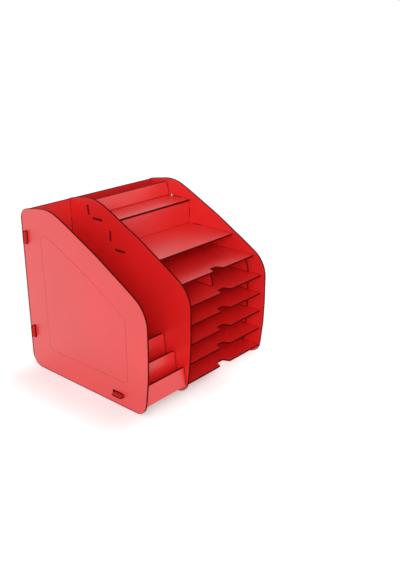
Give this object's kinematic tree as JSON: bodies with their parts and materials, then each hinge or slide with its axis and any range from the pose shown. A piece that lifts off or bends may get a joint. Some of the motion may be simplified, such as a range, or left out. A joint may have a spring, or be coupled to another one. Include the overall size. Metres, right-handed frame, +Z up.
{
  "type": "document tray",
  "caption": "Desktop document tray of flat red lacquered sheets: file bay with card pockets, open A4 shelves with finger notches, note shelf, pen ledge and pen box.",
  "frame": {"origin": "on the desk, in the middle of the footprint", "axes": "+X from the file bay towards the tray bay, across the width; +Y from the open front to the back walls; +Z up"},
  "size_m": [0.3494, 0.3274, 0.3331],
  "materials": {
    "panel_lacquer": "satin",
    "back_lacquer": "satin",
    "shelf_lacquer": "satin",
    "plate_lacquer": "satin",
    "rack_lacquer": "satin"
  },
  "bodies": {
    "root": {"left_side_panel": "panel_lacquer", "centre_panel": "panel_lacquer", "right_side_panel": "panel_lacquer", "file_bay_back": "back_lacquer", "tray_bay_back": "back_lacquer", "file_bay_floor": "shelf_lacquer", "card_lip_front": "plate_lacquer", "card_rest_middle": "plate_lacquer", "card_rest_rear": "plate_lacquer", "note_shelf": "shelf_lacquer", "riser": "back_lacquer", "pen_ledge": "shelf_lacquer", "pen_box_front": "plate_lacquer", "tray_shelf_1": "shelf_lacquer", "tray_shelf_2": "shelf_lacquer", "tray_shelf_3": "shelf_lacquer", "tray_shelf_4": "shelf_lacquer", "tray_shelf_5": "shelf_lacquer", "tray_shelf_6": "shelf_lacquer", "tray_divider": "rack_lacquer", "tray_rack_left": "rack_lacquer", "tray_rack_right": "rack_lacquer"}
  },
  "joints": []
}
